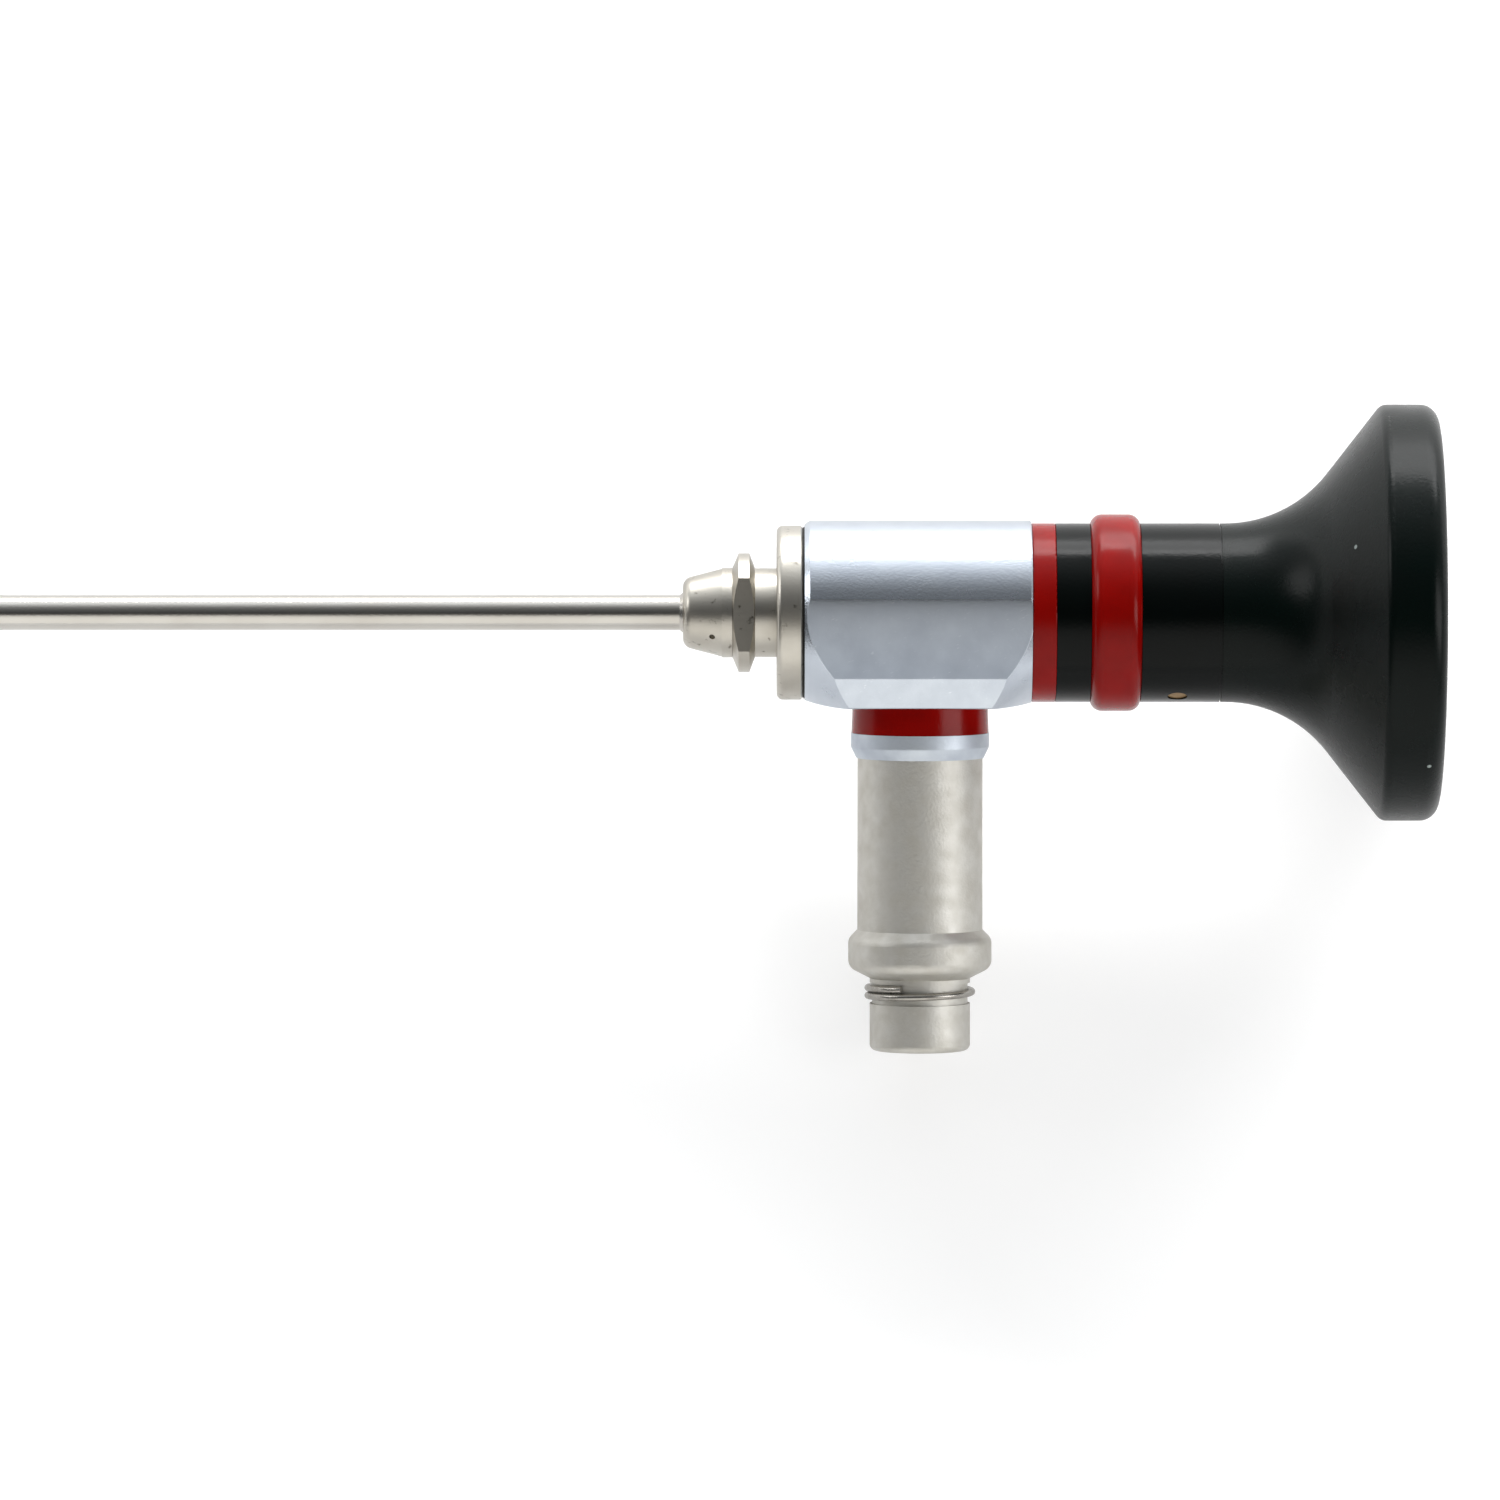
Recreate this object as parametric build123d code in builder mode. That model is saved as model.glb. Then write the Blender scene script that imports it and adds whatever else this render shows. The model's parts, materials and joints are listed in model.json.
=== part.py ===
from build123d import *
import os
from math import asin, atan2, cos, degrees, hypot, radians, sin, sqrt, tan

# Rigid endoscope, lying on its side as it comes to rest.
# Every profile is drawn in scope coordinates: x runs along the optical axis towards the eye,
# with zero where the light post's axis crosses it, and y is the distance from that axis.
# Millimetres throughout.

# Shaft
working_length = 187.0
shaft_radius = 1.35
shaft_wall = 0.17
tube_seat_radius = 1.55
tube_seat_lead = 0.25
tube_insertion = 8.0
optic_radius = 0.95
optic_wall = 0.10
fit_gap = 0.01

# Optics in the shaft
window_thickness = 0.5
stop_thickness = 0.15
stop_hole_radius = 0.3
front_lens_length = 0.9
doublet_length = 1.8
objective_spacer_length = 2.4
spacer_wall = 0.12
rod_count = 7
rod_spacer_length = 4.0
rod_face_radius = 5.0

# Cone and lock spigot in front of the body
cone_length = 3.8
cone_front_radius = 2.6
cone_back_radius = 3.38
cone_front_round = 0.8
cone_band_length = 0.8
cone_band_radius = 3.45
cone_shank_radius = 2.2
cone_shank_length = 2.4
pin_hole_radius = 0.22
pin_hole_depth = 0.3
pin_hole_setback = 1.55
pin_hole_angle = -33.0
lock_ring_length = 1.75
lock_ring_radius = 4.57
lock_crest_start = 0.48
lock_crest_length = 0.84
lock_flat_distance = 3.6
neck_length = 1.65
neck_radius = 3.42
disc_length = 2.05
disc_radius = 6.7
disc_front_round = 0.5
disc_back_chamfer = 0.2
spigot_shank_radius = 3.0
spigot_shank_length = 2.35
gasket_thickness = 0.1
gasket_radius = 6.6

# Body
body_front = 8.89
body_back = 8.52
body_arc_radius = 7.08
body_half_width = 6.95
body_flat_bottom = 4.68
body_floor = 7.12
body_floor_half_width = 5.85
body_floor_half_length = 5.3
body_floor_front = 6.66
body_floor_back = 6.82
body_front_radius = 6.8
body_back_radius = 7.0
body_end_angle = 35.0
body_edge_round = 0.25
cavity_front = 4.5
cavity_radius = 5.4
potting_length = 1.8

# Light fibres
bundle_radius = 0.85
bundle_offset = 1.85
bundle_bend = 2.2

# Ocular
ocular_socket_depth = 4.0
ocular_tube_radius = 5.92
ocular_front_bore = 4.0
ocular_lens_bore = 4.6
bush_length = 2.65
optic_tube_overhang = 0.4
field_stop_setback = 1.0
field_stop_length = 1.0
field_stop_hole = 0.85
lens_seat_setback = 9.35
ocular_front_edge = 1.4
ocular_rear_edge = 1.2
ocular_lens_curve = 14.0
ocular_spacer_length = 1.6
ocular_ring_wall = 0.6
retainer_length = 1.2

# Rings, barrel and eyepiece cup
colour_ring_length = 1.88
ring_edge_round = 0.12
barrel_radius = 6.87
barrel_length = 12.57
grip_ring_setback = 2.62
grip_ring_length = 3.9
grip_ring_radius = 7.56
grip_ring_round = 0.95
grip_groove_depth = 0.4
screw_setback = 9.3
screw_radius = 0.75
screw_recess = 0.12
screw_angles = (98.0, -67.0)
cup_joint_width = 0.12
cup_joint_depth = 0.2
cup_straight_length = 0.35
cup_flare_radius = 9.9
cup_flare_angle = 52.0
cup_length = 16.8
flange_radius = 16.0
flange_corner_round = 0.9
flange_face_round = 1.4
cup_socket_length = 4.8
funnel_rim_width = 2.4
funnel_mouth_radius = flange_radius - funnel_rim_width
funnel_floor_radius = 5.2
funnel_depth = 8.5
window_lip_length = 1.0
window_lip_radius = 4.0
eye_window_thickness = 1.2
eye_window_radius = 4.6
window_seal_thickness = 0.2
window_ring_wall = 0.9

# Light post, measured from the optical axis along the post
post_root_clearance = 0.1
post_root_radius = 3.2
post_root_end = 13.0
post_tube_radius = 2.5
post_bore_radius = 1.0
post_ring_length = 2.11
post_ring_top_radius = 5.2
post_ring_bottom_radius = 5.28
collar_length = 1.92
collar_radius = 5.32
collar_chamfer = 0.85
collar_bottom_radius = 4.92
collar_round = 0.35
sleeve_length = 13.25
sleeve_radius = 4.82
sleeve_bore_radius = 3.22
ridge_top_chamfer = 0.72
ridge_radius = 5.52
ridge_length = 2.18
ridge_bottom_chamfer = 0.84
ridge_top_round = 0.8
ridge_bottom_round = 0.9
nose_radius = 3.87
nose_length = 5.6
nose_shank_length = 6.0
nose_end_round = 0.5
nose_bore_radius = 2.52
groove_setback = 0.35
groove_width = 1.6
post_face_recess = 0.4
ferrule_length = 6.2
ferrule_radius = 1.5
seal_wire_radius = 0.35
snap_wire_radius = 0.27
snap_wire_stand = 0.13
snap_pitch = 0.6
snap_turns = 1.5
snap_side_gap = 0.03
groove_floor_gap = 0.05
snap_start_angle = -155.0

# Stations along the optical axis, worked out from the lengths above
disc_back = -body_front - gasket_thickness
disc_front = disc_back - disc_length
neck_front = disc_front - neck_length
cone_back = neck_front - lock_ring_length
cone_front = cone_back - cone_length
tip = cone_front - working_length
spigot_back = disc_back + spigot_shank_length
potting_back = spigot_back + potting_length
ocular_front = body_back - ocular_socket_depth
barrel_front = body_back + colour_ring_length
barrel_back = barrel_front + barrel_length
grip_front = barrel_front + grip_ring_setback
cup_face = barrel_back + cup_length
ocular_back = barrel_back + cup_socket_length
funnel_floor = cup_face - funnel_depth
lens_seat = ocular_front + ocular_socket_depth + lens_seat_setback
optic_tube_back = ocular_front + optic_tube_overhang

# Stations down the light post
post_root = cavity_radius + post_root_clearance
collar_top = body_floor + post_ring_length
sleeve_top = collar_top + collar_length
ridge_top = sleeve_top + sleeve_length
nose_top = ridge_top + ridge_top_chamfer + ridge_length + ridge_bottom_chamfer
nose_end = nose_top + nose_length
groove_top = nose_top + groove_setback
post_end = nose_end - post_face_recess

# Rest pose. The scope lies on three points: the front corner of the eyepiece flange, the rim of the
# shaft's tip and the end of the light post. The shaft dips towards its tip by dip_angle, and the
# post hangs below the horizontal by post_drop.
flare_reach = cup_flare_radius * sin(radians(cup_flare_angle))
flare_rise = cup_flare_radius * (1 - cos(radians(cup_flare_angle)))
flare_start = barrel_back + cup_joint_width + cup_straight_length
flare_end = flare_start + flare_reach
flare_end_radius = barrel_radius + flare_rise
flange_front = flare_end + (flange_radius - flare_end_radius) / tan(radians(cup_flare_angle))
corner_x = flange_front + flange_corner_round * tan(radians(cup_flare_angle) / 2)
corner_radius = flange_radius - flange_corner_round
dip_run = corner_x - tip
dip_rise = corner_radius - shaft_radius
dip_angle = atan2(dip_rise, dip_run) + asin(flange_corner_round / hypot(dip_run, dip_rise))
axis_height = corner_radius * cos(dip_angle) + flange_corner_round - corner_x * sin(dip_angle)
nose_flat_radius = nose_radius - nose_end_round
nose_reach = nose_end - nose_end_round
drop_sine = sin(
    asin((axis_height - nose_end_round) / hypot(nose_reach, nose_flat_radius))
    - atan2(nose_flat_radius, nose_reach)
)
post_drop = asin(drop_sine / cos(dip_angle))

# The origin is on the floor, below the middle of the box that holds the whole scope.
low_x = tip * cos(dip_angle) - shaft_radius * sin(dip_angle)
face_x = cup_face - flange_face_round
face_radius = flange_radius - flange_face_round
high_x = face_x * cos(dip_angle) + face_radius * sin(dip_angle) + flange_face_round
low_y = -nose_reach * cos(post_drop) - nose_flat_radius * sin(post_drop) - nose_end_round
scope_origin = Vector(-(low_x + high_x) / 2, -(low_y + flange_radius) / 2, axis_height)
eye_direction = Vector(cos(dip_angle), 0, sin(dip_angle))
across = Vector(-sin(dip_angle), 0, cos(dip_angle))
away_from_post = Vector(0, cos(post_drop), 0) + across * sin(post_drop)
post_direction = away_from_post * -1

# The meridian plane holds the optical axis and the light post's axis.
meridian = Plane(scope_origin, x_dir=eye_direction, z_dir=eye_direction.cross(away_from_post))
post_plane = Plane(scope_origin, x_dir=post_direction, z_dir=post_direction.cross(eye_direction))
side_direction = meridian.z_dir
optical_axis = Axis(scope_origin, eye_direction)
post_axis = Axis(scope_origin, post_direction)


def section(low, high, inner, outer):
    """Draw the half section of a plain ring, or of a disc where inner is zero."""
    with Locations(((low + high) / 2, (inner + outer) / 2)):
        Rectangle(high - low, outer - inner)


def bulge(curve, face_radius, height):
    """How far a lens face of a curve radius stands out of its rim, at a height above the axis."""
    if curve == 0:
        return 0
    rim_fall = abs(curve) - sqrt(curve**2 - face_radius**2)
    fall = abs(curve) - sqrt(curve**2 - height**2)
    return rim_fall - fall if curve > 0 else fall - rim_fall


def lens_section(low, high, radius, face_radius, front_curve, back_curve):
    """Draw the half section of a lens with flat rims at low and high and faces within face_radius.

    A positive curve bulges outwards, a negative one is hollow, and zero is flat."""
    half = face_radius / 2
    front_top = low - bulge(front_curve, face_radius, 0)
    back_top = high + bulge(back_curve, face_radius, 0)
    with BuildLine() as outline:
        Line((front_top, 0), (back_top, 0))
        if back_curve == 0:
            Line((high, 0), (high, face_radius))
        else:
            back_middle = (high + bulge(back_curve, face_radius, half), half)
            ThreePointArc((back_top, 0), back_middle, (high, face_radius))
        Polyline((high, face_radius), (high, radius), (low, radius), (low, face_radius))
        if front_curve == 0:
            Line((low, face_radius), (low, 0))
        else:
            front_middle = (low - bulge(front_curve, face_radius, half), half)
            ThreePointArc((low, face_radius), front_middle, (front_top, 0))
    make_face(outline.edges())


def save(builder, name):
    builder.part.label = name
    export_step(builder.part, f"parts/{name}.step")


os.makedirs("parts", exist_ok=True)

# Shaft: the tube swells at its end, where the cone holds it

tube_back = cone_front + tube_insertion
fibre_bore = shaft_radius - shaft_wall
seat_front = cone_front - tube_seat_lead
with BuildPart() as outer_tube:
    with BuildSketch(meridian):
        with BuildLine():
            Polyline(
                (tip, fibre_bore),
                (tip, shaft_radius),
                (seat_front, shaft_radius),
                (cone_front, tube_seat_radius),
                (tube_back, tube_seat_radius),
                (tube_back, fibre_bore),
                close=True,
            )
        make_face()
    revolve(axis=optical_axis)
save(outer_tube, "outer_tube")

# The light fibres fill the gap between the two tubes, and end in a ring of light at the tip.
with BuildPart() as fibre_layer:
    with BuildSketch(meridian):
        section(tip, spigot_back, optic_radius + fit_gap, fibre_bore - fit_gap)
    revolve(axis=optical_axis)
save(fibre_layer, "fibre_layer")

with BuildPart() as optic_tube:
    with BuildSketch(meridian):
        section(tip, optic_tube_back, optic_radius - optic_wall, optic_radius)
    revolve(axis=optical_axis)
save(optic_tube, "optic_tube")

# Optics in the shaft, stacked from the tip towards the eye

glass_radius = optic_radius - optic_wall - fit_gap
glass_face_radius = glass_radius - spacer_wall - fit_gap
window_back = tip + window_thickness
stop_back = window_back + stop_thickness
front_lens_back = stop_back + front_lens_length
doublet_back = front_lens_back + doublet_length
relay_front = doublet_back + objective_spacer_length
relay_pitch = (optic_tube_back - relay_front + rod_spacer_length) / rod_count
rod_length = relay_pitch - rod_spacer_length

with BuildPart() as distal_window:
    with BuildSketch(meridian):
        section(tip, window_back, 0, glass_radius)
    revolve(axis=optical_axis)
save(distal_window, "distal_window")

with BuildPart() as objective_stop:
    with BuildSketch(meridian):
        section(window_back, stop_back, stop_hole_radius, glass_radius)
    revolve(axis=optical_axis)
save(objective_stop, "objective_stop")

with BuildPart() as objective_front_lens:
    with BuildSketch(meridian):
        lens_section(stop_back, front_lens_back, glass_radius, glass_face_radius, 0,
                     -rod_face_radius)
    revolve(axis=optical_axis)
save(objective_front_lens, "objective_front_lens")

with BuildPart() as objective_doublet:
    with BuildSketch(meridian):
        lens_section(front_lens_back, doublet_back, glass_radius, glass_face_radius, 0,
                     rod_face_radius)
    revolve(axis=optical_axis)
save(objective_doublet, "objective_doublet")

with BuildPart() as objective_spacer:
    with BuildSketch(meridian):
        section(doublet_back, relay_front, glass_radius - spacer_wall, glass_radius)
    revolve(axis=optical_axis)
save(objective_spacer, "objective_spacer")

for index in range(rod_count):
    rod_front = relay_front + index * relay_pitch
    rod_back = rod_front + rod_length
    with BuildPart() as rod_lens:
        with BuildSketch(meridian):
            lens_section(rod_front, rod_back, glass_radius, glass_face_radius, rod_face_radius,
                         rod_face_radius)
        revolve(axis=optical_axis)
    save(rod_lens, f"rod_lens_{index + 1}")

    if index < rod_count - 1:
        with BuildPart() as relay_spacer:
            with BuildSketch(meridian):
                section(rod_back, rod_front + relay_pitch, glass_radius - spacer_wall, glass_radius)
            revolve(axis=optical_axis)
        save(relay_spacer, f"relay_spacer_{index + 1}")

# Cone and lock spigot

with BuildPart() as shaft_cone:
    band_front = cone_back - cone_band_length
    shank_back = cone_back + cone_shank_length
    tube_bore = tube_seat_radius + fit_gap
    with BuildSketch(meridian) as cone_half:
        with BuildLine():
            Polyline(
                (cone_front, tube_bore),
                (cone_front, cone_front_radius),
                (band_front, cone_back_radius),
                (band_front, cone_band_radius),
                (cone_back, cone_band_radius),
                (cone_back, cone_shank_radius),
                (shank_back, cone_shank_radius),
                (shank_back, tube_bore),
                close=True,
            )
        make_face()
        front_corner = cone_half.vertices().sort_by_distance((cone_front, cone_front_radius))[0]
        fillet(front_corner, radius=cone_front_round)
    revolve(axis=optical_axis)
    # Blind hole for the pin that the sheath lines up on
    pin_spoke = side_direction * cos(radians(pin_hole_angle)) + away_from_post * sin(
        radians(pin_hole_angle))
    pin_centre = scope_origin + eye_direction * (cone_back - pin_hole_setback)
    pin_floor = cone_back_radius - pin_hole_depth - (
        (cone_back_radius - cone_front_radius) * pin_hole_setback / cone_length)
    with BuildSketch(Plane(pin_centre + pin_spoke * pin_floor, x_dir=eye_direction, z_dir=pin_spoke)):
        Circle(pin_hole_radius)
    extrude(amount=cone_back_radius, mode=Mode.SUBTRACT)
save(shaft_cone, "shaft_cone")

with BuildPart() as lock_spigot:
    crest_front = cone_back + lock_crest_start
    crest_back = crest_front + lock_crest_length
    seat_back = cone_back + cone_shank_length
    with BuildSketch(meridian) as spigot_half:
        with BuildLine():
            Polyline(
                (cone_back, cone_shank_radius + fit_gap),
                (cone_back, neck_radius),
                (crest_front, lock_ring_radius),
                (crest_back, lock_ring_radius),
                (neck_front, neck_radius),
                (disc_front, neck_radius),
                (disc_front, disc_radius),
                (disc_back - disc_back_chamfer, disc_radius),
                (disc_back, disc_radius - disc_back_chamfer),
                (disc_back, spigot_shank_radius),
                (spigot_back, spigot_shank_radius),
                (spigot_back, fibre_bore),
                (tube_back, fibre_bore),
                (tube_back, tube_seat_radius + fit_gap),
                (seat_back, tube_seat_radius + fit_gap),
                (seat_back, cone_shank_radius + fit_gap),
                close=True,
            )
        make_face()
        disc_corner = spigot_half.vertices().sort_by_distance((disc_front, disc_radius))[0]
        fillet(disc_corner, radius=disc_front_round)
    revolve(axis=optical_axis)
    # Two flats across the lock ring let the sheath's bayonet pass
    for side in (1, -1):
        flat_plane = Plane(
            scope_origin + side_direction * side * lock_flat_distance,
            x_dir=eye_direction,
            z_dir=side_direction * side,
        )
        with BuildSketch(flat_plane):
            with Locations(((cone_back + neck_front) / 2, 0)):
                Rectangle(lock_ring_length, 2 * lock_ring_radius)
        extrude(amount=lock_ring_radius, mode=Mode.SUBTRACT)
save(lock_spigot, "lock_spigot")

with BuildPart() as body_gasket:
    with BuildSketch(meridian):
        section(disc_back, -body_front, spigot_shank_radius + fit_gap, gasket_radius)
    revolve(axis=optical_axis)
save(body_gasket, "body_gasket")

# Body: an arch-shaped section, crowned along its floor, with both ends turned to a cone

with BuildPart() as body_housing:
    front_plane = Plane(
        scope_origin - eye_direction * body_front, x_dir=side_direction * -1, z_dir=eye_direction
    )
    arch_foot = sqrt(body_arc_radius**2 - body_half_width**2)
    with BuildSketch(front_plane):
        with BuildLine():
            ThreePointArc(
                (body_half_width, arch_foot), (0, body_arc_radius), (-body_half_width, arch_foot)
            )
            Polyline(
                (-body_half_width, arch_foot),
                (-body_half_width, -body_flat_bottom),
                (-body_floor_half_width, -body_floor),
                (body_floor_half_width, -body_floor),
                (body_half_width, -body_flat_bottom),
                (body_half_width, arch_foot),
            )
        make_face()
    extrude(amount=body_front + body_back)
    long_edges = body_housing.edges().filter_by(
        lambda edge: edge.length > body_front + body_back - fit_gap
        and meridian.to_local_coords(edge.center()).Y < -fit_gap
    )
    fillet(long_edges, radius=body_edge_round)

    # Crowned floor, seen from the side
    with BuildSketch(meridian):
        with BuildLine():
            TangentArc((-body_floor_half_length, -body_floor), (-body_front, -body_floor_front),
                       tangent=(-1, 0))
            TangentArc((body_floor_half_length, -body_floor), (body_back, -body_floor_back),
                       tangent=(1, 0))
            Line((-body_floor_half_length, -body_floor), (body_floor_half_length, -body_floor))
            Polyline(
                (-body_front, -body_floor_front),
                (-body_front, body_arc_radius),
                (body_back, body_arc_radius),
                (body_back, -body_floor_back),
            )
        make_face()
    extrude(amount=body_half_width, both=True, mode=Mode.INTERSECT)

    # Turned ends
    corner_reach = hypot(body_floor_half_width, body_floor)
    end_slope = tan(radians(body_end_angle))
    with BuildSketch(meridian):
        with BuildLine():
            Polyline(
                (-body_front, 0),
                (-body_front, body_front_radius),
                (-body_front + (corner_reach - body_front_radius) / end_slope, corner_reach),
                (body_back - (corner_reach - body_back_radius) / end_slope, corner_reach),
                (body_back, body_back_radius),
                (body_back, 0),
                close=True,
            )
        make_face()
    revolve(axis=optical_axis, mode=Mode.INTERSECT)

    # Bore for the spigot, cavity for optics and fibres, socket for the ocular tube
    with BuildSketch(meridian):
        section(-body_front, -cavity_front, 0, spigot_shank_radius + fit_gap)
        section(-cavity_front, ocular_front, 0, cavity_radius)
        section(ocular_front, body_back, 0, ocular_tube_radius + fit_gap)
    revolve(axis=optical_axis, mode=Mode.SUBTRACT)
    with BuildSketch(post_plane):
        section(0, body_floor, 0, post_root_radius + fit_gap)
    revolve(axis=post_axis, mode=Mode.SUBTRACT)
save(body_housing, "body_housing")

# Light fibres in the body: potted behind the spigot, then bent down into the post

with BuildPart() as fibre_potting:
    with BuildSketch(meridian):
        section(spigot_back, potting_back, optic_radius + fit_gap, spigot_shank_radius)
    revolve(axis=optical_axis)
save(fibre_potting, "fibre_potting")

with BuildPart() as fibre_bundle:
    with BuildLine(meridian) as bundle_route:
        FilletPolyline(
            (potting_back, -bundle_offset),
            (0, -bundle_offset),
            (0, -post_end),
            radius=bundle_bend,
        )
    with BuildSketch(Plane(bundle_route.line @ 0, z_dir=bundle_route.line % 0)):
        Circle(bundle_radius)
    sweep(path=bundle_route.line)
save(fibre_bundle, "fibre_bundle")

# Ocular

with BuildPart() as optic_bush:
    with BuildSketch(meridian):
        section(ocular_front - bush_length, ocular_front, optic_radius + fit_gap,
                cavity_radius - fit_gap)
    revolve(axis=optical_axis)
save(optic_bush, "optic_bush")

with BuildPart() as ocular_tube:
    with BuildSketch(meridian):
        section(ocular_front, lens_seat, ocular_front_bore, ocular_tube_radius)
        section(lens_seat, ocular_back, ocular_lens_bore, ocular_tube_radius)
    revolve(axis=optical_axis)
save(ocular_tube, "ocular_tube")

field_stop_front = ocular_front + field_stop_setback
with BuildPart() as field_stop:
    with BuildSketch(meridian):
        section(field_stop_front, field_stop_front + field_stop_length, field_stop_hole,
                ocular_front_bore - fit_gap)
    revolve(axis=optical_axis)
save(field_stop, "field_stop")

ocular_glass = ocular_lens_bore - fit_gap
ocular_face_radius = ocular_glass - ocular_ring_wall - fit_gap
front_glass_back = lens_seat + ocular_front_edge
rear_glass_front = front_glass_back + ocular_spacer_length
rear_glass_back = rear_glass_front + ocular_rear_edge

with BuildPart() as ocular_front_lens:
    with BuildSketch(meridian):
        lens_section(lens_seat, front_glass_back, ocular_glass, ocular_face_radius, 0,
                     ocular_lens_curve)
    revolve(axis=optical_axis)
save(ocular_front_lens, "ocular_front_lens")

with BuildPart() as ocular_spacer:
    with BuildSketch(meridian):
        section(front_glass_back, rear_glass_front, ocular_glass - ocular_ring_wall, ocular_glass)
    revolve(axis=optical_axis)
save(ocular_spacer, "ocular_spacer")

with BuildPart() as ocular_rear_lens:
    with BuildSketch(meridian):
        lens_section(rear_glass_front, rear_glass_back, ocular_glass, ocular_face_radius, 0,
                     ocular_lens_curve)
    revolve(axis=optical_axis)
save(ocular_rear_lens, "ocular_rear_lens")

with BuildPart() as ocular_retainer:
    with BuildSketch(meridian):
        section(rear_glass_back, rear_glass_back + retainer_length, ocular_glass - ocular_ring_wall,
                ocular_glass)
    revolve(axis=optical_axis)
save(ocular_retainer, "ocular_retainer")

# Rings and barrel on the ocular tube

ring_bore = ocular_tube_radius + fit_gap
groove_radius = barrel_radius - grip_groove_depth
grip_back = grip_front + grip_ring_length

with BuildPart() as colour_ring:
    with BuildSketch(meridian) as ring_half:
        section(body_back, barrel_front, ring_bore, barrel_radius)
        fillet(ring_half.vertices().group_by(Axis.Y)[-1], radius=ring_edge_round)
    revolve(axis=optical_axis)
save(colour_ring, "colour_ring")

with BuildPart() as eyepiece_barrel:
    with BuildSketch(meridian):
        section(barrel_front, grip_front, ring_bore, barrel_radius)
        section(grip_front, grip_back, ring_bore, groove_radius)
        section(grip_back, barrel_back, ring_bore, barrel_radius)
    revolve(axis=optical_axis)
    for angle in screw_angles:
        spoke = side_direction * cos(radians(angle)) + away_from_post * sin(radians(angle))
        screw_centre = scope_origin + eye_direction * (barrel_front + screw_setback)
        with BuildSketch(Plane(screw_centre, x_dir=eye_direction, z_dir=spoke)):
            Circle(screw_radius + fit_gap)
        extrude(amount=barrel_radius + fit_gap, mode=Mode.SUBTRACT)
save(eyepiece_barrel, "eyepiece_barrel")

with BuildPart() as barrel_screws:
    for angle in screw_angles:
        spoke = side_direction * cos(radians(angle)) + away_from_post * sin(radians(angle))
        screw_centre = scope_origin + eye_direction * (barrel_front + screw_setback)
        screw_foot = screw_centre + spoke * (ocular_tube_radius + fit_gap)
        with BuildSketch(Plane(screw_foot, x_dir=eye_direction, z_dir=spoke)):
            Circle(screw_radius)
        extrude(amount=barrel_radius - screw_recess - ocular_tube_radius - fit_gap)
save(barrel_screws, "barrel_screws")

with BuildPart() as grip_ring:
    with BuildSketch(meridian) as grip_half:
        section(grip_front, grip_back, groove_radius + fit_gap, grip_ring_radius)
        fillet(grip_half.vertices().group_by(Axis.Y)[-1], radius=grip_ring_round)
    revolve(axis=optical_axis)
save(grip_ring, "grip_ring")

# Eyepiece cup, its window and what holds the window

cup_bore = ocular_tube_radius + fit_gap
lip_front = funnel_floor - window_lip_length
seal_front = lip_front - window_seal_thickness
eye_window_front = seal_front - eye_window_thickness
window_glass = eye_window_radius - fit_gap

with BuildPart() as eyepiece_cup:
    joint_back = barrel_back + cup_joint_width
    half_angle = radians(cup_flare_angle) / 2
    flare_middle = (
        flare_start + cup_flare_radius * sin(half_angle),
        barrel_radius + cup_flare_radius * (1 - cos(half_angle)),
    )
    with BuildSketch(meridian) as cup_half:
        with BuildLine():
            Polyline(
                (barrel_back, cup_bore),
                (barrel_back, barrel_radius - cup_joint_depth),
                (joint_back, barrel_radius - cup_joint_depth),
                (joint_back, barrel_radius),
                (flare_start, barrel_radius),
            )
            ThreePointArc(
                (flare_start, barrel_radius), flare_middle, (flare_end, flare_end_radius)
            )
            Polyline(
                (flare_end, flare_end_radius),
                (flange_front, flange_radius),
                (cup_face, flange_radius),
                (cup_face, funnel_mouth_radius),
                (funnel_floor, funnel_floor_radius),
                (funnel_floor, window_lip_radius),
                (lip_front, window_lip_radius),
                (lip_front, eye_window_radius),
                (ocular_back, eye_window_radius),
                (ocular_back, cup_bore),
                (barrel_back, cup_bore),
            )
        make_face()
        rim_corners = cup_half.vertices().group_by(Axis.Y)[-1].sort_by(Axis.X)
        fillet(rim_corners[0], radius=flange_corner_round)
        fillet(cup_half.vertices().sort_by_distance((cup_face, flange_radius))[0],
               radius=flange_face_round)
    revolve(axis=optical_axis)
save(eyepiece_cup, "eyepiece_cup")

with BuildPart() as window_seal:
    with BuildSketch(meridian):
        section(seal_front, lip_front, window_lip_radius, window_glass)
    revolve(axis=optical_axis)
save(window_seal, "window_seal")

with BuildPart() as eyepiece_window:
    with BuildSketch(meridian):
        section(eye_window_front, seal_front, 0, window_glass)
    revolve(axis=optical_axis)
save(eyepiece_window, "eyepiece_window")

with BuildPart() as window_ring:
    with BuildSketch(meridian):
        section(ocular_back, eye_window_front, window_glass - window_ring_wall, window_glass)
    revolve(axis=optical_axis)
save(window_ring, "window_ring")

# Light post

root_bore = post_root_radius + fit_gap

with BuildPart() as post_ring:
    with BuildSketch(post_plane):
        with BuildLine():
            Polyline(
                (body_floor, root_bore),
                (body_floor, post_ring_top_radius),
                (collar_top, post_ring_bottom_radius),
                (collar_top, root_bore),
                close=True,
            )
        make_face()
    revolve(axis=post_axis)
save(post_ring, "post_ring")

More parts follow.
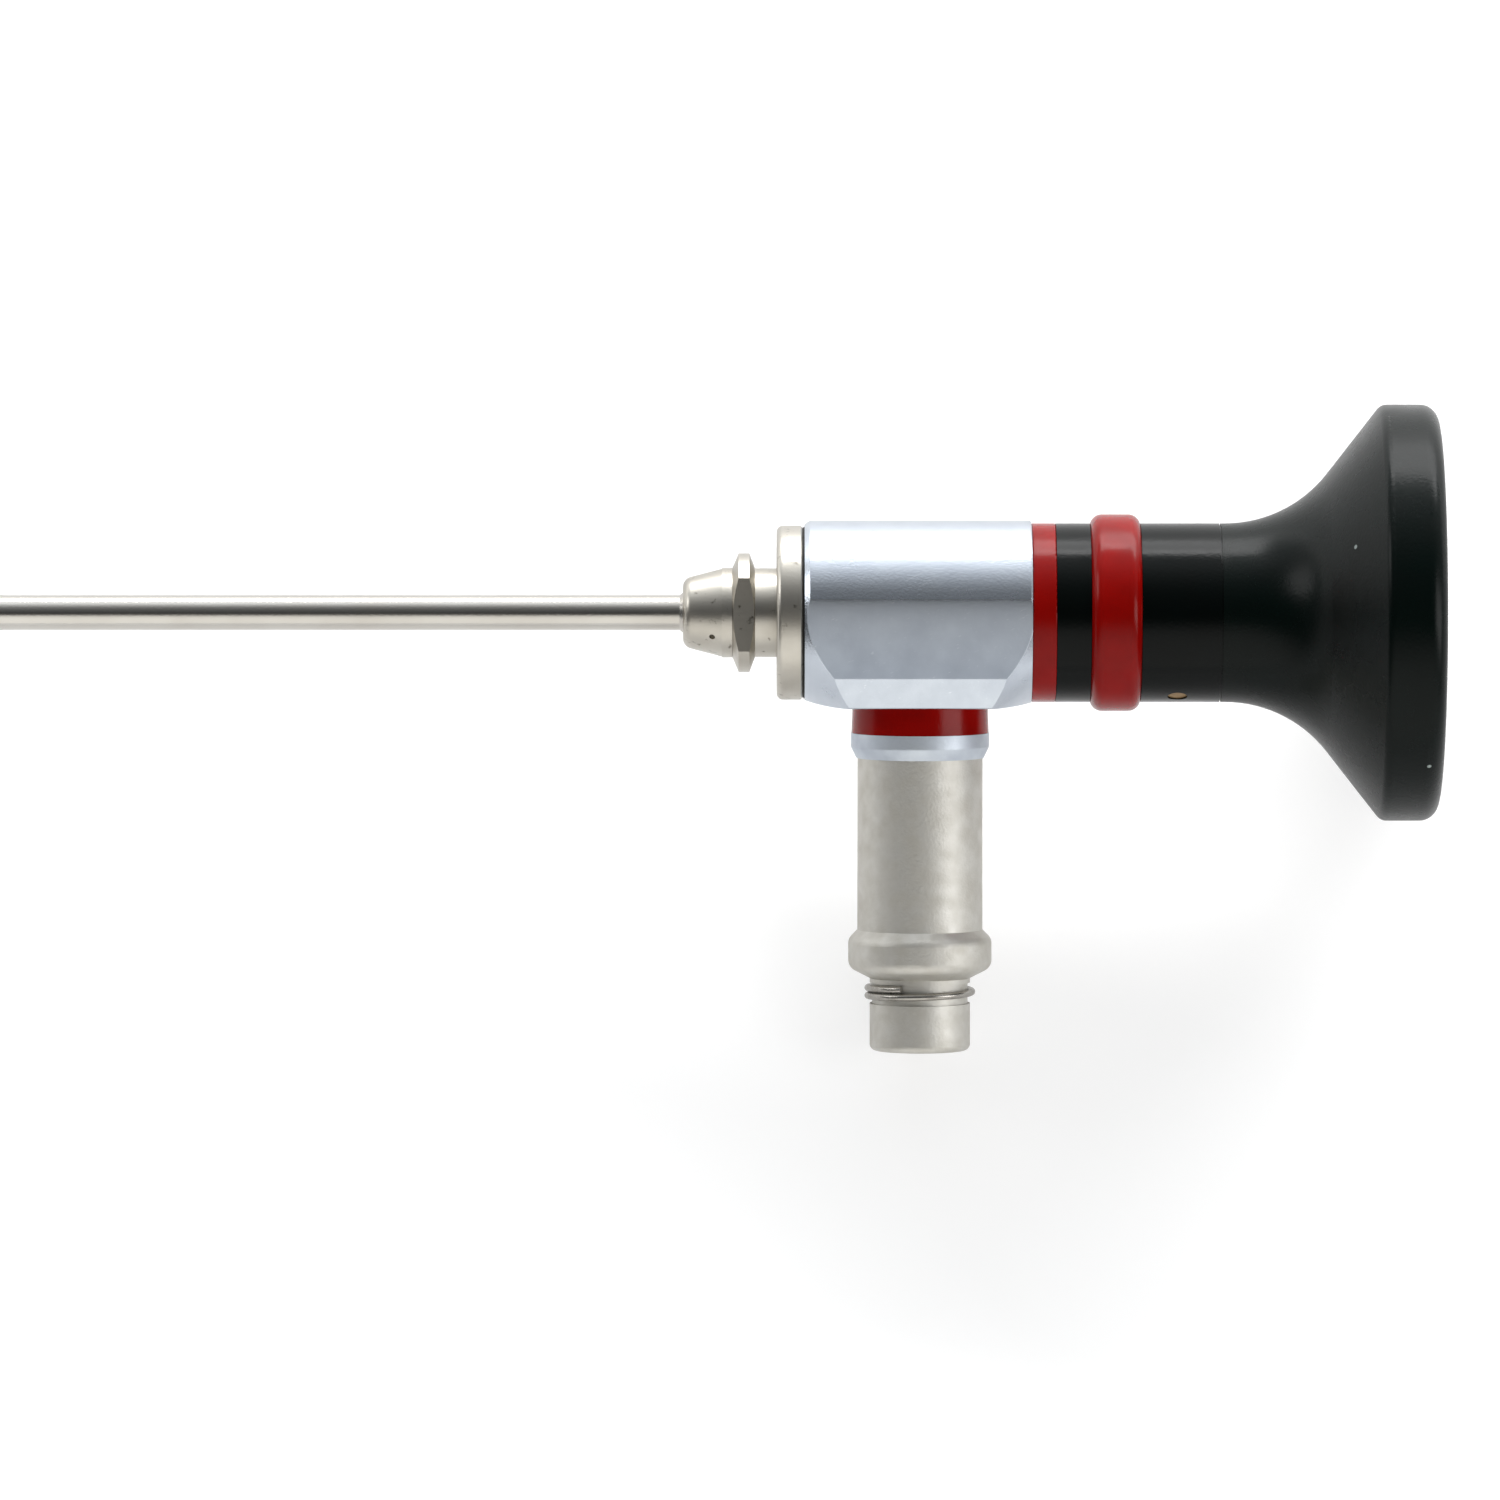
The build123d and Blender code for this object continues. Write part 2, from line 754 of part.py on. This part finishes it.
with BuildPart() as post_collar:
    with BuildSketch(post_plane) as collar_half:
        with BuildLine():
            Polyline(
                (collar_top, root_bore),
                (collar_top, collar_radius),
                (sleeve_top - collar_chamfer, collar_radius),
                (sleeve_top, collar_bottom_radius),
                (sleeve_top, root_bore),
                close=True,
            )
        make_face()
        collar_corner = (sleeve_top - collar_chamfer, collar_radius)
        fillet(collar_half.vertices().sort_by_distance(collar_corner)[0], radius=collar_round)
    revolve(axis=post_axis)
save(post_collar, "post_collar")

with BuildPart() as post_tube:
    ferrule_top = post_end - ferrule_length
    with BuildSketch(post_plane):
        section(post_root, post_root_end, post_bore_radius, post_root_radius)
        section(post_root_end, ferrule_top, post_bore_radius, post_tube_radius)
        section(ferrule_top, post_end, ferrule_radius + fit_gap, post_tube_radius)
    revolve(axis=post_axis)
save(post_tube, "post_tube")

with BuildPart() as fibre_ferrule:
    with BuildSketch(post_plane):
        section(ferrule_top, post_end, bundle_radius + fit_gap, ferrule_radius)
    revolve(axis=post_axis)
save(fibre_ferrule, "fibre_ferrule")

with BuildPart() as adapter_sleeve:
    crest_top = ridge_top + ridge_top_chamfer
    crest_bottom = crest_top + ridge_length
    with BuildSketch(post_plane) as sleeve_half:
        with BuildLine():
            Polyline(
                (sleeve_top, sleeve_bore_radius),
                (sleeve_top, sleeve_radius),
                (ridge_top, sleeve_radius),
                (crest_top, ridge_radius),
                (crest_bottom, ridge_radius),
                (nose_top, nose_radius),
                (nose_top, sleeve_bore_radius),
                close=True,
            )
        make_face()
        top_corner = sleeve_half.vertices().sort_by_distance((crest_top, ridge_radius))[0]
        fillet(top_corner, radius=ridge_top_round)
        bottom_corner = sleeve_half.vertices().sort_by_distance((crest_bottom, ridge_radius))[0]
        fillet(bottom_corner, radius=ridge_bottom_round)
    revolve(axis=post_axis)
save(adapter_sleeve, "adapter_sleeve")

# The nose screws into the sleeve, and its snap ring clicks into the light cable's socket.
snap_radius = nose_radius + snap_wire_stand
groove_floor_radius = snap_radius - snap_wire_radius - groove_floor_gap
shank_top = nose_top - nose_shank_length

with BuildPart() as adapter_nose:
    groove_bottom = groove_top + groove_width
    with BuildSketch(post_plane) as nose_half:
        with BuildLine():
            Polyline(
                (shank_top, nose_bore_radius),
                (shank_top, sleeve_bore_radius - fit_gap),
                (nose_top, sleeve_bore_radius - fit_gap),
                (nose_top, nose_radius),
                (groove_top, nose_radius),
                (groove_top, groove_floor_radius),
                (groove_bottom, groove_floor_radius),
                (groove_bottom, nose_radius),
                (nose_end, nose_radius),
                (nose_end, nose_bore_radius),
                close=True,
            )
        make_face()
        end_corner = nose_half.vertices().sort_by_distance((nose_end, nose_radius))[0]
        fillet(end_corner, radius=nose_end_round)
    revolve(axis=post_axis)
save(adapter_nose, "adapter_nose")

with BuildPart() as snap_ring:
    snap_height = snap_pitch * snap_turns
    snap_top = groove_top + snap_side_gap + snap_wire_radius
    with BuildLine() as snap_route:
        Helix(
            pitch=snap_pitch,
            height=snap_height,
            radius=snap_radius,
            center=scope_origin + post_direction * snap_top,
            direction=post_direction,
        )
    snap_path = snap_route.line.rotate(post_axis, snap_start_angle)
    with BuildSketch(Plane(snap_path @ 0, z_dir=snap_path % 0)):
        Circle(snap_wire_radius)
    sweep(path=snap_path, is_frenet=True)
save(snap_ring, "snap_ring")

with BuildPart() as adapter_seal:
    seal_height = shank_top - seal_wire_radius
    seal_centre_radius = sleeve_bore_radius - fit_gap - seal_wire_radius
    with BuildSketch(post_plane):
        with Locations((seal_height, seal_centre_radius)):
            Circle(seal_wire_radius)
    revolve(axis=post_axis)
save(adapter_seal, "adapter_seal")

print(f"dip {degrees(dip_angle):.3f} deg, post drop {degrees(post_drop):.3f} deg")
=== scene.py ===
import json
import math
import bpy
from mathutils import Matrix, Vector

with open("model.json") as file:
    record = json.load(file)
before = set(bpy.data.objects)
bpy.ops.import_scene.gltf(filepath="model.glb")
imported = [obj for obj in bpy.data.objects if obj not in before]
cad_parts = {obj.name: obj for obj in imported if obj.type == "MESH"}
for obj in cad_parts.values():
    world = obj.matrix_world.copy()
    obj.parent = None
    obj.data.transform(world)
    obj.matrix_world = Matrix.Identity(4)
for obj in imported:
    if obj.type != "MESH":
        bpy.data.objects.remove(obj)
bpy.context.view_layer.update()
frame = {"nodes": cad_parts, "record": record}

mm = 0.001
nodes = frame["nodes"]
mounts = {entry["name"]: entry for entry in frame["record"]["mounts"]}

# The scope's own directions, read from its mounts
eyeDir = Vector(mounts["eyepiece_flange"]["axis"]).normalized()    # along the shaft, to the eye
awayDir = -Vector(mounts["light_post"]["axis"]).normalized()       # away from the light post
sideDir = eyeDir.cross(awayDir)                                    # towards the camera
flangePoint = Vector(mounts["eyepiece_flange"]["pos_m"])
postPoint = Vector(mounts["light_post"]["pos_m"])
crossing = flangePoint + eyeDir * (postPoint - flangePoint).dot(eyeDir)    # shaft meets post
scopeMatrix = Matrix((eyeDir, awayDir, sideDir)).transposed().to_4x4()
scopeMatrix.translation = crossing


def scopePoint(x, y, z):
    # millimetres along the shaft, away from the post and towards the camera
    return scopeMatrix @ Vector((x * mm, y * mm, z * mm))


# Small helpers

plainWhite = (1, 1, 1, 1)


def linear(hexColour):
    # sRGB hex to linear RGBA
    channels = [int(hexColour[i:i + 2], 16) / 255 for i in (1, 3, 5)]
    return [c / 12.92 if c <= 0.04045 else ((c + 0.055) / 1.055) ** 2.4 for c in channels] + [1]


def addNode(tree, kind, settings=None, links=None):
    # settings: socket or attribute values; links: socket name -> output socket
    node = tree.nodes.new(kind)
    for name, value in (settings or {}).items():
        if isinstance(name, int) or name in node.inputs:
            node.inputs[name].default_value = value
        else:
            setattr(node, name, value)
    for name, source in (links or {}).items():
        tree.links.new(source, node.inputs[name])
    return node


def newMaterial(name):
    material = bpy.data.materials.new(name)
    material.use_nodes = True
    tree = material.node_tree
    tree.nodes.clear()
    output = addNode(tree, "ShaderNodeOutputMaterial")
    coords = addNode(tree, "ShaderNodeTexCoord").outputs["Object"]
    return material, tree, output, coords


def dress(nodeName, material):
    piece = nodes[nodeName]
    piece.data.materials.clear()
    piece.data.materials.append(material)


# Camera

camera = {
    "distance": 931,               # mm from the aim point
    "lens": 290.4,                 # mm
    "sensor": 36,                  # mm
    "nearest": 0.05,               # metres; nothing closer is drawn
    "aim": (-13.08, -10.58, 0),    # mm from where shaft and post cross
    "raise": 3.4,                  # degrees towards the top of the picture
}


def buildCamera():
    tilt = math.radians(camera["raise"])
    back = sideDir * math.cos(tilt) + awayDir * math.sin(tilt)
    up = awayDir * math.cos(tilt) - sideDir * math.sin(tilt)
    place = Matrix((eyeDir, up, back)).transposed().to_4x4()
    place.translation = scopePoint(*camera["aim"]) + back * camera["distance"] * mm
    data = bpy.data.cameras.new("camera")
    data.lens = camera["lens"]
    data.sensor_width = camera["sensor"]
    data.clip_start = camera["nearest"]
    cameraObject = bpy.data.objects.new("camera", data)
    cameraObject.matrix_world = place
    bpy.context.scene.collection.objects.link(cameraObject)
    bpy.context.scene.camera = cameraObject


buildCamera()
print("camera placed")

# Table: white melamine laminate, pressed matt. It mirrors nothing, so the eye sees one even
# white ground with a soft shadow on it

tableLook = {
    "size": 6.0,                    # metres
    "colour": "#e6e6e6",
    "glow": 0.48,                   # share of plain white that the camera sees in the table
    "white": 1.35,                  # how bright that white is
    "mirrored": 0.6,                # share of plain white that metal, plastic and glass see in it
    "mirroredWhite": (0.8, 3.8),    # their white near the viewer and far beyond the scope
    "brightens": (0.02, 0.25),      # metres along Y between those two
}


def buildTable():
    bpy.ops.object.select_all(action="DESELECT")
    bpy.ops.mesh.primitive_plane_add(size=tableLook["size"])
    tableObject = bpy.context.object
    tableObject.name = "table"
    material, tree, output, coords = newMaterial("white laminate table")

    # what the camera sees: paint and lamplight, mixed with a plain white
    paint = addNode(tree, "ShaderNodeBsdfDiffuse", {"Color": linear(tableLook["colour"])})
    glow = addNode(tree, "ShaderNodeEmission",
                   {"Color": plainWhite, "Strength": tableLook["white"]})
    rays = addNode(tree, "ShaderNodeLightPath")
    seen = addNode(tree, "ShaderNodeMath", {"operation": "MULTIPLY", 1: tableLook["glow"]},
                   {0: rays.outputs["Is Camera Ray"]})
    tableTop = addNode(tree, "ShaderNodeMixShader", None,
                       {0: seen.outputs[0], 1: paint.outputs[0], 2: glow.outputs[0]})

    # what metal, plastic and glass see: a white that grows brighter towards the window
    near, far = tableLook["brightens"]
    low, high = tableLook["mirroredWhite"]
    across = addNode(tree, "ShaderNodeSeparateXYZ", None, {0: coords})
    white = addNode(tree, "ShaderNodeMapRange",
                    {"From Min": near, "From Max": far, "To Min": low, "To Max": high},
                    {"Value": across.outputs["Y"]})
    mirrored = addNode(tree, "ShaderNodeEmission", {"Color": plainWhite},
                       {"Strength": white.outputs[0]})
    passed = addNode(tree, "ShaderNodeMath", {"operation": "MAXIMUM"},
                     {0: rays.outputs["Is Glossy Ray"], 1: rays.outputs["Is Transmission Ray"]})
    share = addNode(tree, "ShaderNodeMath", {"operation": "MULTIPLY", 1: tableLook["mirrored"]},
                    {0: passed.outputs[0]})
    mix = addNode(tree, "ShaderNodeMixShader", None,
                  {0: share.outputs[0], 1: tableTop.outputs[0], 2: mirrored.outputs[0]})
    tree.links.new(mix.outputs[0], output.inputs["Surface"])
    tableObject.data.materials.append(material)
    return tableObject


table = buildTable()
print("table laid")

# Lamps: place and size in metres, power in watts; each one points at the crossing

lamps = {
    "window light": {"place": (0.3, 1.2, 0.26), "size": (1.5, 0.55), "power": 14},
    "upper window light": {"place": (0.3, 1.15, 0.45), "size": (1.5, 0.14), "power": 4},
    "left light": {"place": (-1.09, 0.42, 0.5), "size": (0.55, 0.55), "power": 2.4},
    "right light": {"place": (1.1, -0.2, 0.75), "size": (0.5, 0.9), "power": 4.8},
}
# falls on the table alone and draws the soft shadow in front of the scope
tableLamp = {"place": (0.3, 1.15, 0.41), "size": (1.8, 0.16), "power": 43}


def addLamp(name, place, size, power):
    data = bpy.data.lights.new(name, "AREA")
    data.shape = "ELLIPSE" if size[0] == size[1] else "RECTANGLE"
    data.size, data.size_y = size
    data.energy = power
    lamp = bpy.data.objects.new(name, data)
    lamp.location = place
    lamp.rotation_euler = (crossing - Vector(place)).to_track_quat("-Z", "Y").to_euler()
    bpy.context.scene.collection.objects.link(lamp)
    return lamp


for lampName, lampLook in lamps.items():
    addLamp(lampName, **lampLook)
litByIt = bpy.data.collections.new("table alone")
litByIt.objects.link(table)
addLamp("table light", **tableLamp).light_linking.receiver_collection = litByIt
print("lamps lit")

# Room: bright towards the window and behind the viewer, dark overhead, pale at its right end

room = {
    # how far a direction points towards the window, from -1 to 1, and how bright it is there
    "levels": [(-1.0, 1.2), (-0.9, 1.2), (-0.8, 1.15), (-0.7, 1.05), (-0.6, 0.75), (-0.5, 0.3),
               (-0.42, 0.1), (-0.3, 0.06), (-0.2, 0.08), (0.0, 0.13), (0.15, 0.17), (0.36, 0.3),
               (0.6, 0.72), (0.74, 1.2), (1.0, 1.4)],
    "warmTint": (1.0, 0.99, 0.96),    # towards the viewer
    "coolTint": (0.97, 1.0, 1.03),    # overhead and towards the window
    "coolFrom": -0.4,                 # where the cool tint begins, on the scale of the levels
    "rightEnd": (0.5, 0.95),          # how far right a direction points as the end lights up
    "rightGlow": 0.35,
}


def buildRoom():
    world = bpy.data.worlds.new("room")
    bpy.context.scene.world = world
    world.use_nodes = True
    tree = world.node_tree
    tree.nodes.clear()
    output = addNode(tree, "ShaderNodeOutputWorld")
    direction = addNode(tree, "ShaderNodeTexCoord").outputs["Generated"]
    split = addNode(tree, "ShaderNodeSeparateXYZ", None, {0: direction})

    # the ramp runs from 0 to 1 where the levels run from -1 to 1
    halved = addNode(tree, "ShaderNodeMath", {"operation": "MULTIPLY_ADD", 1: 0.5, 2: 0.5},
                     {0: split.outputs["Y"]})
    ramp = addNode(tree, "ShaderNodeValToRGB", None, {0: halved.outputs[0]})
    stops = ramp.color_ramp.elements      # two at first, at 0 and 1
    for towards, level in room["levels"][1:-1]:
        stops.new(0.5 + towards / 2)
    for stop, (towards, level) in zip(stops, room["levels"]):
        tint = room["coolTint"] if towards > room["coolFrom"] else room["warmTint"]
        stop.color = [level * part for part in tint] + [1]

    begins, full = room["rightEnd"]
    right = addNode(tree, "ShaderNodeMapRange",
                    {"From Min": begins, "From Max": full, "To Max": room["rightGlow"]},
                    {"Value": split.outputs["X"]})
    walls = addNode(tree, "ShaderNodeBackground", None, {"Color": ramp.outputs["Color"]})
    rightWall = addNode(tree, "ShaderNodeBackground", {"Color": plainWhite},
                        {"Strength": right.outputs[0]})
    both = addNode(tree, "ShaderNodeAddShader", None,
                   {0: walls.outputs[0], 1: rightWall.outputs[0]})
    white = addNode(tree, "ShaderNodeBackground", {"Color": plainWhite})
    rays = addNode(tree, "ShaderNodeLightPath")
    mix = addNode(tree, "ShaderNodeMixShader", None,
                  {0: rays.outputs["Is Camera Ray"], 1: both.outputs[0], 2: white.outputs[0]})
    tree.links.new(mix.outputs[0], output.inputs["Surface"])


buildRoom()
bpy.context.scene.view_settings.view_transform = "Standard"
print("room lit")

# Materials

# how much detail each noise has, and between which of its values the pattern fades in
patterns = {
    "patch": {"detail": 3, "from": 0.3, "to": 0.7},      # slow change of tone
    "marks": {"detail": 4, "from": 0.64, "to": 0.74},    # few and small spots
    "hairs": {"detail": 1, "from": 0.7, "to": 0.8},      # few and thin lines
    "grain": {"detail": 2, "height": 0.2},               # height of a dent, for its width
}


def grainBump(tree, coords, grain, depth):
    # fine relief: grain is the width of one dent in millimetres
    pattern = patterns["grain"]
    noise = addNode(tree, "ShaderNodeTexNoise",
                    {"Scale": 1 / (grain * mm), "Detail": pattern["detail"]}, {"Vector": coords})
    bump = addNode(tree, "ShaderNodeBump",
                   {"Strength": depth, "Distance": grain * mm * pattern["height"]},
                   {"Height": noise.outputs["Fac"]})
    return bump.outputs["Normal"]


def noiseShare(tree, coords, size, pattern):
    # 0 to 1 as a noise, its lumps a size in millimetres, passes through the pattern's range
    noise = addNode(tree, "ShaderNodeTexNoise",
                    {"Scale": 1 / (size * mm), "Detail": pattern["detail"]}, {"Vector": coords})
    return addNode(tree, "ShaderNodeMapRange",
                   {"From Min": pattern["from"], "From Max": pattern["to"]},
                   {"Value": noise.outputs["Fac"]}).outputs[0]


def flatShare(tree, coords, flat):
    # 0 off the front flat; on it, a rise from its top edge to its bottom edge
    outermost = max(sideDir.dot(vertex.co) for vertex in nodes["body_housing"].data.vertices)
    begins, reached = [outermost - below * mm for below in flat["below"]]
    outwards = addNode(tree, "ShaderNodeVectorMath", {"operation": "DOT_PRODUCT", 1: sideDir},
                       {0: coords})
    onFlat = addNode(tree, "ShaderNodeMapRange", {"From Min": begins, "From Max": reached},
                     {"Value": outwards.outputs["Value"]})
    top, bottom = [awayDir.dot(scopePoint(0, edge, 0)) for edge in flat["edges"]]
    upwards = addNode(tree, "ShaderNodeVectorMath", {"operation": "DOT_PRODUCT", 1: awayDir},
                      {0: coords})
    down = addNode(tree, "ShaderNodeMapRange", {"From Min": top, "From Max": bottom},
                   {"Value": upwards.outputs["Value"]})
    eased = addNode(tree, "ShaderNodeMath", {"operation": "POWER", 1: flat["ease"]},
                    {0: down.outputs[0]})
    return addNode(tree, "ShaderNodeMath", {"operation": "MULTIPLY"},
                   {0: eased.outputs[0], 1: onFlat.outputs[0]}).outputs[0]


def hairShare(tree, coords, hairs):
    # thin lines, all in one slanting direction
    pattern = patterns["hairs"]
    drawn = addNode(tree, "ShaderNodeMapping",
                    {"vector_type": "TEXTURE", "Rotation": (0, 0, hairs["turn"]),
                     "Scale": (hairs["length"] * mm, hairs["width"] * mm, hairs["width"] * mm)},
                    {"Vector": coords})
    noise = addNode(tree, "ShaderNodeTexNoise", {"Scale": 1, "Detail": pattern["detail"]},
                    {"Vector": drawn.outputs[0]})
    return addNode(tree, "ShaderNodeMapRange",
                   {"From Min": pattern["from"], "From Max": pattern["to"],
                    "To Max": hairs["strength"]}, {"Value": noise.outputs["Fac"]}).outputs[0]


def nickShare(tree, coords, nicks, x, y):
    # 1 within a nick's core and 0 beyond its edge; the nick lies where a line from the camera's
    # side meets the piece
    start = scopePoint(x, y, nicks["from"])
    point = nodes[nicks["piece"]].ray_cast(start, -sideDir)[1]
    gap = addNode(tree, "ShaderNodeVectorMath", {"operation": "DISTANCE", 1: point}, {0: coords})
    return addNode(tree, "ShaderNodeMapRange",
                   {"From Min": nicks["size"] * mm,
                    "From Max": nicks["size"] * nicks["core"] * mm},
                   {"Value": gap.outputs["Value"]}).outputs[0]


def surfaceMaterial(name, look):
    material, tree, output, coords = newMaterial(name)
    # Mix's inputs 2 and 3 are its two numbers, 6 and 7 its two colours
    patch = noiseShare(tree, coords, look["patch"], patterns["patch"])
    tones = {"data_type": "RGBA", 6: linear(look["colour"]), 7: linear(look["shade"])}
    colour = addNode(tree, "ShaderNodeMix", tones, {0: patch}).outputs[2]
    smooth, dull = look["rough"]
    rough = addNode(tree, "ShaderNodeMix", {2: smooth, 3: dull}, {0: patch}).outputs[0]
    if "flat" in look:
        share = flatShare(tree, coords, look["flat"])
        rough = addNode(tree, "ShaderNodeMix", {3: look["flat"]["rough"]},
                        {0: share, 2: rough}).outputs[0]

    layers = []      # what lies over the two tones: where, and in which colour
    if "marks" in look:
        marks = look["marks"]
        spots = noiseShare(tree, coords, marks["size"], patterns["marks"])
        layers.append((spots, marks["colour"]))
    if "hairs" in look:
        layers.append((hairShare(tree, coords, look["hairs"]), look["hairs"]["colour"]))
    if "nicks" in look:
        nicks = look["nicks"]
        layers += [(nickShare(tree, coords, nicks, x, y), nicks["colour"]) for x, y in nicks["at"]]
    for share, hexColour in layers:
        colour = addNode(tree, "ShaderNodeMix", {"data_type": "RGBA", 7: linear(hexColour)},
                         {0: share, 6: colour}).outputs[2]

    settings = {"Metallic": look.get("metal", 0.0)}
    if "ior" in look:
        settings.update({"IOR": look["ior"], "Specular IOR Level": look["shine"]})
    shader = addNode(tree, "ShaderNodeBsdfPrincipled", settings,
                     {"Base Color": colour, "Roughness": rough,
                      "Normal": grainBump(tree, coords, look["grain"], look["depth"])})
    tree.links.new(shader.outputs[0], output.inputs["Surface"])
    return material


def glassMaterial(name, look):
    material, tree, output, coords = newMaterial(name)
    shader = addNode(tree, "ShaderNodeBsdfPrincipled",
                     {"Base Color": linear(look["colour"]), "Roughness": look["rough"],
                      "IOR": look["ior"], "Transmission Weight": 1.0})
    tree.links.new(shader.outputs[0], output.inputs["Surface"])
    return material


# colour and shade are the two tones of a finish, patch is the size of their patches and grain
# the width of one dent, both in mm; rough holds the roughness of the one tone and the other
finishes = {
    # drawn and polished: one bright and one dark line run the whole length of the shaft
    "polished stainless tube": {
        "colour": "#cfccc6", "shade": "#c4c0b9", "patch": 6, "rough": (0.13, 0.2),
        "grain": 0.2, "depth": 0.15, "metal": 1.0},
    # turned and plated: warm grey, the window a soft-edged band, small dark marks from use
    "turned nickel steel": {
        "colour": "#c6c2b9", "shade": "#bab5ab", "patch": 3, "rough": (0.28, 0.36),
        "marks": {"colour": "#7d776c", "size": 0.7},      # mm
        "grain": 0.2, "depth": 0.2, "metal": 1.0},
    # blasted with fine glass beads: even and pale, with no mirror image; the beads' dents of
    # about 0.05 mm are drawn at 0.2 mm so that they show
    "bead-blasted steel": {
        "colour": "#d9d7d1", "shade": "#cdcac2", "patch": 1.4, "rough": (0.52, 0.6),
        "grain": 0.2, "depth": 0.6, "metal": 1.0},
    # satin and clear anodised: cool silver with faint pale hairlines, and sharper bands on the
    # turned arch than on the milled front flat, which is duller towards its bottom edge
    "satin aluminium": {
        "colour": "#cdd4dd", "shade": "#c2c9d3", "patch": 2.5, "rough": (0.23, 0.28),
        "flat": {"rough": 0.82,               # at the bottom edge
                 "edges": (1.3, -5.1),        # top and bottom, mm from the shaft's axis
                 "below": (0.05, 0.02),       # mm below the flat where it begins and is reached
                 "ease": 0.5},                # power of the rise from edge to edge
        "hairs": {"colour": "#eef1f5", "turn": 0.5,       # radians
                  "length": 4, "width": 0.1,              # mm
                  "strength": 0.5},
        "grain": 0.2, "depth": 0.3, "metal": 1.0},
    # blasted and clear anodised: the same cool silver, with soft broad shading only
    "blasted aluminium": {
        "colour": "#d3dae2", "shade": "#c5ccd6", "patch": 2, "rough": (0.5, 0.6),
        "grain": 0.2, "depth": 0.4, "metal": 1.0},
    # turned brass gone dull: a small brown-gold dot in the black barrel
    "turned brass": {
        "colour": "#97784b", "shade": "#7c5f38", "patch": 1, "rough": (0.35, 0.45),
        "grain": 0.2, "depth": 0.2, "metal": 1.0},
    # chemically blackened: almost no light comes back from inside the eyepiece
    "blackened brass": {
        "colour": "#242322", "shade": "#1b1a1a", "patch": 1, "rough": (0.4, 0.5),
        "grain": 0.2, "depth": 0.3, "metal": 1.0},
    # drawn wire: a thin bright line along each turn
    "drawn spring wire": {
        "colour": "#b7b4ae", "shade": "#a19d96", "patch": 1, "rough": (0.2, 0.3),
        "grain": 0.2, "depth": 0.2, "metal": 1.0},
    # moulded in a polished mould: deep red under a clear-edged, whitish window band
    "moulded red plastic": {
        "colour": "#900501", "shade": "#830401", "patch": 3, "rough": (0.17, 0.23),
        "grain": 0.25, "depth": 0.15, "ior": 1.5, "shine": 0.16},
    # turned and polished: black with a clear-edged grey window band
    "polished black polymer": {
        "colour": "#030807", "shade": "#020504", "patch": 3, "rough": (0.15, 0.22),
        "grain": 0.25, "depth": 0.2, "ior": 1.5, "shine": 0.13},
    # moulded satin and worn by hands: a green-tinged black on which the window is a soft blur,
    # with two pale nicks
    "satin black polymer": {
        "colour": "#010b08", "shade": "#010806", "patch": 3, "rough": (0.25, 0.31),
        "nicks": {"colour": "#8f9a97", "piece": "eyepiece_cup",
                  "at": [(32.9, 5.55), (38.55, -11.15)],      # mm from where shaft and post cross
                  "from": 60,                                 # mm towards the camera, off the cup
                  "size": 0.2,                                # mm from its middle to its edge
                  "core": 0.6},                               # share of that which is full
        "grain": 0.25, "depth": 0.2, "ior": 1.5, "shine": 0.14},
    # moulded rubber: dull black, a plain dark line in the seams
    "black elastomer": {
        "colour": "#141414", "shade": "#101010", "patch": 2, "rough": (0.55, 0.65),
        "grain": 0.2, "depth": 0.3, "ior": 1.5, "shine": 0.5},
    # poured and set: brown-amber with a wet shine
    "cured epoxy": {
        "colour": "#7a5f35", "shade": "#6a5230", "patch": 2, "rough": (0.3, 0.4),
        "grain": 0.2, "depth": 0.2, "ior": 1.55, "shine": 0.5},
    # ground and polished fibre ends: cream and speckled; fibres of 0.03 mm are drawn at
    # 0.15 mm so that they show
    "polished fibre ends": {
        "colour": "#d8d3b4", "shade": "#bdb894", "patch": 0.15, "rough": (0.1, 0.2),
        "grain": 0.1, "depth": 0.1, "ior": 1.6, "shine": 0.5},
}
glasses = {
    # ground, polished and coated: clear, with a faint cool reflection
    "coated optical glass": {"colour": "#e8f2f4", "rough": 0.02, "ior": 1.62},
}
materials = {name: surfaceMaterial(name, look) for name, look in finishes.items()}
materials.update({name: glassMaterial(name, look) for name, look in glasses.items()})
print("materials mixed")

# Each piece wears the finish of its slot, but for two that differ from their neighbours
slotFinish = {
    "shaft_steel": "polished stainless tube",
    "turned_steel": "turned nickel steel",
    "blasted_steel": "bead-blasted steel",
    "satin_body": "satin aluminium",
    "red_plastic": "moulded red plastic",
    "black_plastic": "polished black polymer",
    "brass": "turned brass",
    "blackened_brass": "blackened brass",
    "glass": "coated optical glass",
    "fibre": "polished fibre ends",
    "resin": "cured epoxy",
    "seal": "black elastomer",
    "spring_steel": "drawn spring wire",
}
ownFinish = {
    "post_collar": "blasted aluminium",
    "eyepiece_cup": "satin black polymer",
}
for entry in frame["record"]["subparts"]:
    finish = ownFinish.get(entry["node"], slotFinish[entry["material_slot"]])
    dress(entry["node"], materials[finish])
print("nodes dressed")
